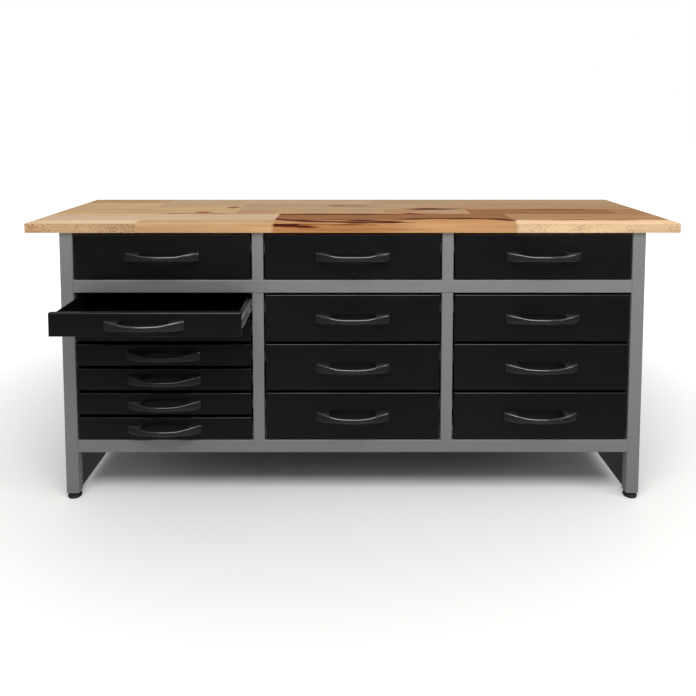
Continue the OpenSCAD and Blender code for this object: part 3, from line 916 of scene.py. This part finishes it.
@dataclass
class Drawer:
    """One drawer: its folded front pan with the sheet behind it, its tray, handle and screws, and its ball cages."""

    name: str
    fold_mm: float = 3.0
    sheet_mm: float = 1.0
    pan_mm: float = 15.0
    hem_mm: float = 2.6
    hem_drop_mm: float = 9.0
    hem_return_mm: float = 0.4
    tray_fold_mm: float = 2.0
    tray_drop_mm: float = 6.0
    tray_lift_mm: float = 6.0
    slide_mm: float = 7.7
    screw_mm: float = 92.0
    cage_start_mm: float = 22.0
    cage_mm: float = 300.0
    cage_in_mm: float = 4.5
    cage_thin_mm: float = 0.7
    cage_tall_mm: float = 21.0
    pocket_mm: float = 15.0
    pocket_deep_mm: float = 1.4
    corner_mm: float = 1.2
    sheet_corner_mm: float = 1.0
    sheet_bevel_mm: float = 0.3
    sheet_clear: float = 2.2
    tray_corner_mm: float = 2.0
    head_mm: float = 4.5

    def pan(self, shell: Shell, low: np.ndarray, high: np.ndarray) -> None:
        """The front: a face with its four sides folded back.

        Its profile starts in the middle of the face, goes out to the fold, round it, back along the side, over the
        sheet's edge and the same way back one sheet's thickness inside.
        """
        r, t, d = self.fold_mm * MM, self.sheet_mm * MM, self.pan_mm * MM
        outer = fold((r, r), r, 270.0, 180.0, 5)
        inner = fold((r, r), r - t, 180.0, 270.0, 5)
        profile = np.concatenate([outer, [(0.0, d), (t, d)], inner])
        size = (high[0] - low[0], high[2] - low[2])
        centre = ((low[0] + high[0]) / 2, low[1], (low[2] + high[2]) / 2)
        shell.skin(dish(profile, size, self.corner_mm * MM, centre, Axis.ALONG_Y))

    def stiffener(self, shell: Shell, low: np.ndarray, high: np.ndarray) -> None:
        """The sheet that closes the pan from behind, between the slides: flat, with its edges bevelled."""
        t, d = self.sheet_mm * MM, self.pan_mm * MM
        bevel = self.sheet_bevel_mm * MM
        profile = np.array([(bevel, d - t), (0.0, d - 0.7 * t), (0.0, d - 0.3 * t), (bevel, d)])
        gap = self.slide_mm * MM
        size = (high[0] - low[0] - 2 * gap, high[2] - low[2] - self.sheet_clear * t)
        centre = ((low[0] + high[0]) / 2, low[1], (low[2] + high[2]) / 2)
        shell.skin(dish(profile, size, self.sheet_corner_mm * MM, centre, Axis.ALONG_Y))

    def tray(self, shell: Shell, low: np.ndarray, high: np.ndarray) -> None:
        """The tray: a floor with folded-up walls whose upper edge is folded over to the inside.

        Its profile starts in the middle of the underside, goes round the lower fold, up the outside, over the hem,
        down to the hem's lower edge, back to the wall, down inside and to the middle of the floor.
        """
        r, t = self.tray_fold_mm * MM, self.sheet_mm * MM
        hem = self.hem_mm * MM
        tall = high[2] - low[2] - (self.tray_drop_mm + self.tray_lift_mm) * MM
        outer = fold((r, r), r, 270.0, 180.0, 4)
        over = fold((hem / 2, tall - hem / 2), hem / 2, 180.0, 0.0, 8)
        lip = tall - self.hem_drop_mm * MM
        inner = fold((r, r), r - t, 180.0, 270.0, 4)
        profile = np.concatenate([outer, over, [(hem, lip), (t, lip - self.hem_return_mm * MM)], inner])
        gap = self.slide_mm * MM
        size = (high[0] - low[0] - 2 * gap, high[1] - low[1] - self.pan_mm * MM)
        centre = ((low[0] + high[0]) / 2, low[1] + self.pan_mm * MM + size[1] / 2, low[2] + self.tray_lift_mm * MM)
        shell.skin(dish(profile, size, self.tray_corner_mm * MM, centre, Axis.ALONG_Z))

    def screws(self, shell: Shell, low: np.ndarray, high: np.ndarray) -> None:
        """The two pan heads inside the drawer that hold the handle: flat domes that stand 2 mm off the sheet."""
        for side in (-1.0, 1.0):
            x = (low[0] + high[0]) / 2 + side * self.screw_mm * MM
            shell.skin(pan_head((x, low[1] + self.pan_mm * MM, (low[2] + high[2]) / 2), self.head_mm * MM))

    def cages(self, shell: Shell) -> None:
        """The ball cages in the open side of both slides: thin strips with a pocket pressed in for each ball.

        A flat rounded rectangle is carried along Y and moved sideways by the square of a sine, one pocket to a pitch.
        """
        low, high = corners(f"{self.name}_runners")
        y = low[1] + np.linspace(self.cage_start_mm, self.cage_start_mm + self.cage_mm, 121) * MM
        wave = self.pocket_deep_mm * MM * np.sin(math.pi * (y - y[0]) / (self.pocket_mm * MM)) ** 2
        thin, tall = self.cage_thin_mm / 2 * MM, self.cage_tall_mm / 2 * MM
        ring = corner_ring(np.array([thin]), np.array([tall]), np.array([thin - 0.05 * MM]), 1)[0]
        for side in (-1.0, 1.0):
            x = (low[0] + high[0]) / 2 + side * (high[0] - low[0]) / 2 - side * (self.cage_in_mm * MM - wave)
            points = np.zeros((len(y), len(ring), 3))
            points[..., 0] = x[:, None] + ring[None, :, 0]
            points[..., 1] = y[:, None]
            points[..., 2] = (low[2] + high[2]) / 2 + ring[None, :, 1]
            shell.skin(points)

    def build(self, coat: bpy.types.Material, plastic: bpy.types.Material, zinc: bpy.types.Material) -> None:
        """Builds the drawer's pieces.

        Args:
            coat: the finish of its sheet.
            plastic: the handle's finish.
            zinc: the finish of its screws and its slide members.
        """
        low, high = corners(f"{self.name}_box")
        shell = Shell(f"{self.name}_tray")
        self.pan(shell, low, high)
        self.stiffener(shell, low, high)
        self.tray(shell, low, high)
        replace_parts(shell.build(coat, self.name, Slot.SHEET), f"{self.name}_box")
        heads = Shell(f"{self.name}_handle_screws")
        self.screws(heads, low, high)
        heads.build(zinc, self.name, Slot.ZINC)
        cages = Shell(f"{self.name}_ball_cages")
        self.cages(cages)
        cages.build(zinc, self.name, Slot.ZINC)
        Handle(f"{self.name}_bow", self.name).build(plastic)
        dress(f"{self.name}_runners", zinc)


@dataclass
class Handle:
    """A moulded bow handle with two broad feet.

    Its parts are the stations on the bow's half, round the opening's corner, along its side and under the foot.
    """

    name: str
    drawer: str
    radius_mm: float = 190.0
    reach_mm: float = 45.0
    thick_mm: float = 10.0
    grip_mm: float = 140.0
    grip_r_mm: float = 16.0
    bow_h_mm: float = 16.0
    round_mm: float = 4.5
    bend_y_mm: float = -22.0
    narrow_mm: float = 40.0
    widen_mm: float = 64.0
    end_share: float = 0.82
    end_round_mm: float = 1.2
    parts: tuple[int, int, int, int] = (24, 8, 5, 8)
    steps: int = 4

    def rails(self, half: float) -> tuple[np.ndarray, np.ndarray]:
        """The two lines that the sections hang between, seen from above, in mm from the middle of the front.

        The outer one is a circle's arc.  The inner one follows the concentric arc, turns round the corner of the
        finger opening, goes straight to the front and then along it to the foot's end.

        Args:
            half: half the handle's length.

        Returns:
            Points of the outer line and of the inner line, one pair for each station, each shaped (stations, 2).
        """
        centre = self.radius_mm - self.reach_mm
        inner_r = self.radius_mm - self.thick_mm
        corner = self.grip_mm / 2 - self.grip_r_mm
        bend_y = self.bend_y_mm
        n_arc, n_bend, n_side, n_sole = self.parts
        x_arc = np.linspace(0.0, corner, n_arc)
        arc = np.stack([x_arc, centre - np.sqrt(inner_r ** 2 - x_arc ** 2)], -1)
        first = arc[-1]
        t = np.linspace(0.0, math.pi / 2, n_bend + 1)[1:]
        bend = np.stack([corner + self.grip_r_mm * np.sin(t), bend_y + (first[1] - bend_y) * np.cos(t)], -1)
        side = np.stack([np.full(n_side, self.grip_mm / 2), np.linspace(bend_y, 0.0, n_side + 1)[1:]], -1)
        sole = np.stack([np.linspace(self.grip_mm / 2, half, n_sole + 1)[1:], np.zeros(n_sole)], -1)
        inner = np.concatenate([arc, bend, side, sole])
        step = np.concatenate([[0.0], np.cumsum(np.hypot(*np.diff(inner, axis=0).T))])
        share = step / step[-1]
        # The outer station moves at an even pace, but stays over the bow until the opening's corner is passed.
        turns = share[np.cumsum([n_arc - 1, n_bend, n_side])]
        x_out = half * np.interp(share, [0.0, *turns, 1.0], [0.0, 0.50, 0.66, 0.74, 1.0])
        outer = np.stack([x_out, centre - np.sqrt(self.radius_mm ** 2 - x_out ** 2)], -1)
        return outer, inner

    def build(self, plastic: bpy.types.Material) -> bpy.types.Object:
        """Builds the handle as rounded rectangles carried from foot to foot.

        A section's middle is halfway between the two lines, its first half axis is half the way from the inner to
        the outer line, and its second is vertical: half the height, which grows from the bow's to the box's by a
        smooth step.  The first and last sections are drawn in, which rounds the ends.
        """
        low, high = corners(f"{self.drawer}_handle")
        half = (high[0] - low[0]) / 2 / MM
        outer, inner = self.rails(half)
        outer = np.concatenate([(outer * (-1, 1))[::-1], outer[1:]])
        inner = np.concatenate([(inner * (-1, 1))[::-1], inner[1:]])
        t = np.clip((np.abs(outer[:, 0]) - self.narrow_mm) / self.widen_mm, 0.0, 1.0)
        tall = self.bow_h_mm + ((high[2] - low[2]) / MM - self.bow_h_mm) * smooth_step(t)
        middle, reach = (outer + inner) / 2, (outer - inner) / 2
        length = np.hypot(reach[:, 0], reach[:, 1])
        ring = corner_ring(length, tall / 2, np.minimum(self.round_mm, length * 0.9), self.steps)
        unit = reach / length[:, None]
        plan = middle[:, None, :] + unit[:, None, :] * ring[..., :1]
        points = np.stack([plan[..., 0], plan[..., 1], ring[..., 1]], -1)
        ends = []
        for k in (0, -1):
            core = points[k].mean(0)
            ends.append(core + (points[k] - core) * self.end_share)
            points[k, :, 0] -= np.sign(core[0]) * self.end_round_mm
            ends[-1][:, 0] = core[0]
        points = np.concatenate([ends[0][None], points, ends[1][None]]) * MM
        points += ((low[0] + high[0]) / 2, high[1], (low[2] + high[2]) / 2)
        shell = Shell(self.name)
        shell.skin(points)
        made = shell.build(plastic, self.drawer, Slot.HANDLE, 40.0)
        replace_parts(made, f"{self.drawer}_handle")
        return made


# ------------------------------------------------------------------------------------------------ feet


@dataclass
class LevellingFoot:
    """A levelling foot: a moulded pad under a hexagon and a threaded steel stem."""

    node: str
    hex_mm: float = 8.5
    stem_mm: float = 5.0
    pitch_mm: float = 1.5
    thread_mm: float = 0.8

    def build(self, plastic: bpy.types.Material, zinc: bpy.types.Material) -> None:
        """Builds the pad and the stem, both turned round the foot's line.

        The thread is the stem's radius less the thread's depth times a triangle wave of height over pitch minus
        the turn's share.
        """
        low, high = corners(self.node)
        line = ((low[0] + high[0]) / 2, (low[1] + high[1]) / 2, 0.0)
        # Rows of (radius, height) in mm, from the middle of the underside round to the middle of the top.
        pad = np.array([(2, 0), (18.5, 0), (19.6, 0.4), (20.0, 1.2), (20.0, 2.0), (20.6, 2.3), (21.0, 2.9),
                        (21.0, 6.4), (20.4, 7.8), (19.0, 8.7), (17.0, 9.0), (12.0, 9.0), (2, 9.0)]) * MM
        shell = Shell(f"{self.node}_pad")
        shell.skin(turn(pad, line, 64))
        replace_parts(shell.build(plastic, self.node, Slot.FOOT), self.node)
        steel = Shell(f"{self.node}_stem")
        a = self.hex_mm
        nut = np.array([(2, 8.8), (a - 1.2, 8.8), (a, 9.4), (a, 13.3), (a - 1.0, 14.0), (2, 14.0)]) * MM
        steel.skin(turn(nut, line, 60, 6))
        z = np.arange(13.5, high[2] / MM - 0.6, self.pitch_mm / 6)
        angle = np.arange(24) / 24
        wave = np.abs(((z[:, None] / self.pitch_mm - angle[None, :]) % 1.0) * 2.0 - 1.0)
        radius = (self.stem_mm - self.thread_mm * wave) * MM
        turned = turn(np.stack([np.ones(len(z)), z * MM], -1), line, 24)
        turned[..., :2] = np.array(line[:2]) + (turned[..., :2] - np.array(line[:2])) * radius[..., None]
        steel.skin(turned)
        steel.build(zinc, self.node, Slot.ZINC)


# ------------------------------------------------------------------------------------------------ fixings


@dataclass
class Fixings:
    """Small parts that the solids leave out: the end frames' welds, the slides' end tabs, the rear panel's screws."""

    bead_mm: float = 1.7
    bead_half_mm: float = 17.0
    ripple: float = 0.12
    ripple_mm: float = 5.0
    leg_mm: float = 30.0
    tie_low_mm: float = 169.0
    tie_half_mm: float = 20.0
    tab_mm: tuple[float, float] = (3.8, 23.0)
    tab_in_mm: float = 0.9
    tab_corner_mm: float = 1.0
    head_mm: float = 4.5
    rim_top_mm: float = 12.0
    rim_low_mm: float = 20.0
    partition_mm: float = 292.5
    partition_rows_mm: tuple[float, ...] = (330, 500, 670)

    def welds(self, grey: bpy.types.Material) -> None:
        """Lays a bead along each seam between a leg and a tie, on the outside of the end frame.

        A bead is a circle carried upwards, its radius swelling with a sine of the height, one swell for each 5 mm.
        """
        angle = np.arange(10) * (2 * math.pi / 10)
        for side, sign in (("left", -1.0), ("right", 1.0)):
            low, high = corners(f"{side}_leg_frame")
            web = (high[0] if sign > 0 else low[0]) - sign * 0.5 * MM
            shell = Shell(f"{side}_frame_welds")
            for y in (low[1] + self.leg_mm * MM, high[1] - self.leg_mm * MM):
                for z in (self.tie_low_mm * MM, high[2] - self.tie_half_mm * MM):
                    up = np.linspace(z - self.bead_half_mm * MM, z + self.bead_half_mm * MM, 29)
                    ripple = self.ripple * np.sin(up / (self.ripple_mm * MM) * 2 * math.pi)
                    swell = self.bead_mm * MM * (1.0 - self.ripple + ripple)[:, None]
                    shell.skin(np.stack([web + swell * np.cos(angle), y + swell * np.sin(angle),
                                         np.repeat(up[:, None], 10, 1)], -1))
            shell.build(grey, CABINET, Slot.FRAME)

    def stops(self, zinc: bpy.types.Material) -> None:
        """Closes the front end of each slide's fixed member with a small turned-in tab, a rounded rectangle."""
        shell = Shell("slide_end_stops")
        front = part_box("cabinet_runners")[0][1]
        profile = np.array([(0.4, -0.9), (0.0, -0.5), (0.0, 2.0), (0.4, 2.4)]) * MM
        for body in (b for b in frame["bodies"] if "drawer" in b):
            low, high = corners(f"{body}_runners")
            for wall, inward in ((low[0], 1.0), (high[0], -1.0)):
                centre = (wall + inward * self.tab_in_mm * MM, front, (low[2] + high[2]) / 2)
                size = (self.tab_mm[0] * MM, self.tab_mm[1] * MM)
                shell.skin(dish(profile, size, self.tab_corner_mm * MM, centre, Axis.ALONG_Y, 2))
        shell.build(zinc, CABINET, Slot.ZINC)

    def build(self, grey: bpy.types.Material, zinc: bpy.types.Material) -> None:
        """Adds the welds, the slides' stops, and the screws of the rear panel."""
        self.welds(grey)
        self.stops(zinc)
        low, high = corners("rear_panel")
        shell = Shell("rear_panel_screws")
        rims = (high[2] - self.rim_top_mm * MM, low[2] + self.rim_low_mm * MM)
        edges = [(x, z) for z in rims for x in np.linspace(low[0], high[0], 9)[1:-1]]
        posts = [(side * self.partition_mm * MM, z * MM) for side in (-1, 1) for z in self.partition_rows_mm]
        for x, z in edges + posts:
            shell.skin(pan_head((x, high[1], z), self.head_mm * MM))
        shell.build(zinc, CABINET, Slot.ZINC)


# ------------------------------------------------------------------------------------------------ studio


@dataclass(frozen=True)
class Lamp:
    """A soft box: where it stands, what it points at, its size and its power."""

    name: str
    place: tuple[float, float, float]
    aim: tuple[float, float, float]
    size: tuple[float, float]
    watts: float


@dataclass
class Studio:
    """The camera, the pale floor, the soft boxes and the sky round them.

    Each part of the sky is where its ramp starts and ends, as a share of the way up or to the side, and its light at
    each end.
    """

    eye: tuple[float, float, float] = (-0.0166, -2.3058, 1.1933)
    pitch_deg: float = 4.0
    yaw_deg: float = -0.06
    lens_mm: float = 34.391
    sensor_mm: float = 36.0
    shift_y: float = -0.263
    floor_m: float = 30.0
    floor_glow_m: tuple[float, float] = (0.3, 3.6)
    roller_scale: float = 90.0
    roller_strength: float = 0.05
    roller_depth_mm: float = 0.5
    sky_above: tuple[float, float, float, float] = (0.06, 0.60, 0.03, 0.56)
    sky_below: tuple[float, float, float, float] = (-0.12, -0.55, 0.0, 0.12)
    sky_walls: tuple[float, float, float, float] = (0.30, 0.95, 1.0, 0.45)
    lamps: tuple[Lamp, ...] = (
        Lamp("overhead_box", (0.0, -2.1, 3.1), (0.0, -0.2, 0.55), (3.6, 1.4), 92.0),
        Lamp("side_box", (3.2, -1.6, 1.8), (0.0, 0.0, 0.5), (1.2, 1.8), 19.0),
    )

    def camera(self) -> None:
        """Places the camera: level but for the pitch, its frame shifted down."""
        data = bpy.data.cameras.new("camera")
        data.lens = self.lens_mm
        data.sensor_width = self.sensor_mm
        data.shift_y = self.shift_y
        camera = bpy.data.objects.new("camera", data)
        camera.location = self.eye
        camera.rotation_euler = (math.radians(90.0 - self.pitch_deg), 0.0, math.radians(self.yaw_deg))
        bpy.context.scene.collection.objects.link(camera)
        bpy.context.scene.camera = camera

    def floor(self) -> None:
        """Lays a pale painted floor: a disc on a grid of rings, with a faint roller texture.

        Away from the bench it glows by its distance from the middle, so that it runs into the white behind it.
        """
        steps = 96
        radius = np.linspace(0.05, self.floor_m, 40)
        angle = np.arange(steps) * (2 * math.pi / steps)
        x, y = radius[:, None] * np.cos(angle), radius[:, None] * np.sin(angle)
        rings = np.stack([x, y, np.zeros_like(x)], -1)
        index = np.arange(rings.shape[0] * steps).reshape(-1, steps)
        after = np.roll(index, -1, 1)
        quads = np.stack([index[:-1], index[1:], after[1:], after[:-1]], -1).reshape(-1, 4).tolist()
        mesh = bpy.data.meshes.new("floor")
        mesh.from_pydata(rings.reshape(-1, 3), [], quads + [index[0].tolist()])
        made, tree, shader = start("pale_floor_paint", Base_Color=linear("#f2f2f0"), Roughness=0.8,
                                   Specular_IOR_Level=0.2, Emission_Color=linear("#ffffff"))
        place = add(tree, "TexCoord").outputs["Object"]
        away = add(tree, "VectorMath", {0: place}, operation="LENGTH")
        glow = ramp(tree, away.outputs["Value"], *self.floor_glow_m, smooth=True)
        tree.links.new(glow, shader.inputs["Emission Strength"])
        roller = add(tree, "TexNoise", {"Vector": place, "Scale": self.roller_scale, "Detail": 2.0})
        bump = add(tree, "Bump", {"Strength": self.roller_strength, "Distance": self.roller_depth_mm * MM,
                                  "Height": roller.outputs[0]})
        tree.links.new(bump.outputs[0], shader.inputs["Normal"])
        mesh.materials.append(made)
        floor = bpy.data.objects.new("floor", mesh)
        floor.visible_glossy = False
        bpy.context.scene.collection.objects.link(floor)

    def sky(self) -> None:
        """Surrounds the scene: white behind, and for light and reflections a room that is dim at the sides.

        The room's light is a smooth step of the height above the horizon, plus a weaker one below it for the
        floor's light, times a smooth step that falls towards the left and right walls.
        """
        world = bpy.data.worlds.new("studio")
        bpy.context.scene.world = world
        world.use_nodes = True
        tree = world.node_tree
        tree.nodes.clear()
        way = add(tree, "TexCoord").outputs["Generated"]
        sideways, _, up = add(tree, "SeparateXYZ", {0: way}).outputs
        level = ramp(tree, up, *self.sky_above, True)
        ground = ramp(tree, up, *self.sky_below, True)
        glow = add(tree, "Math", {0: level, 1: ground}, operation="ADD")
        off = add(tree, "Math", {0: sideways}, operation="ABSOLUTE")
        walls = ramp(tree, off.outputs[0], *self.sky_walls, True)
        lit = add(tree, "Math", {0: glow.outputs[0], 1: walls}, operation="MULTIPLY")
        room = add(tree, "Background", {"Color": (1.0, 1.0, 1.0, 1.0), "Strength": lit.outputs[0]})
        white = add(tree, "Background", {"Color": (1.0, 1.0, 1.0, 1.0), "Strength": 1.0})
        seen = add(tree, "LightPath").outputs["Is Camera Ray"]
        mixed = add(tree, "MixShader", {0: seen, 1: room.outputs[0], 2: white.outputs[0]})
        add(tree, "OutputWorld", {"Surface": mixed.outputs[0]})

    def build(self) -> None:
        """Sets up the whole studio."""
        self.camera()
        self.floor()
        self.sky()
        for lamp in self.lamps:
            data = bpy.data.lights.new(lamp.name, "AREA")
            data.shape = "RECTANGLE"
            data.size, data.size_y = lamp.size
            data.energy = lamp.watts
            box = bpy.data.objects.new(lamp.name, data)
            box.location = lamp.place
            box.rotation_euler = (Vector(lamp.aim) - Vector(lamp.place)).to_track_quat("-Z", "Y").to_euler()
            bpy.context.scene.collection.objects.link(box)
        bpy.context.scene.view_settings.view_transform = "Standard"
        LOG.info("studio: camera, floor, sky and %d lamps", len(self.lamps))


# ------------------------------------------------------------------------------------------------ assembly


@dataclass
class Cabinet:
    """The welded and screwed steel body, whose CAD shapes stay as they are."""

    grey_nodes: tuple[str, ...] = ("left_leg_frame", "right_leg_frame", "left_partition", "right_partition",
                                   "middle_rail", "bottom_rail")
    black_nodes: tuple[str, ...] = ("left_side_panel", "right_side_panel", "rear_panel")

    def build(self, grey: bpy.types.Material, black: bpy.types.Material, zinc: bpy.types.Material) -> None:
        """Gives every part of the body its finish and adds the fixings."""
        for node in self.grey_nodes:
            dress(node, grey)
        for node in self.black_nodes:
            dress(node, black)
        dress("cabinet_runners", zinc)
        Fixings().build(grey, zinc)


def main() -> None:
    logging.basicConfig(level=logging.INFO, format="%(message)s")
    grey = PowderCoat("grey_powder_coat", "#777777", "#717171", 0.34, specular=0.38).material()
    black = PowderCoat("black_powder_coat", "#0e0e0f", "#0c0c0d", 0.33, specular=0.40, skin=0.5).material()
    zinc = ZincPlate("zinc_plated_steel", "#d8dbde", "#c4c8cb", 0.42).material()
    handle = MouldedPlastic("handle_abs", "#1f1f20", "#212122", 0.24, specular=0.8, skin=1.0).material()
    rubber = MouldedPlastic("foot_polyamide", "#222223", "#303031", 0.6).material()
    Worktop().build(OiledBeech())
    Cabinet().build(grey, black, zinc)
    for body in frame["bodies"]:
        if "drawer" in body:
            Drawer(body).build(black, handle, zinc)
        elif body.startswith("foot"):
            LevellingFoot(body).build(rubber, zinc)
    Studio().build()


if __name__ == "__main__":
    main()
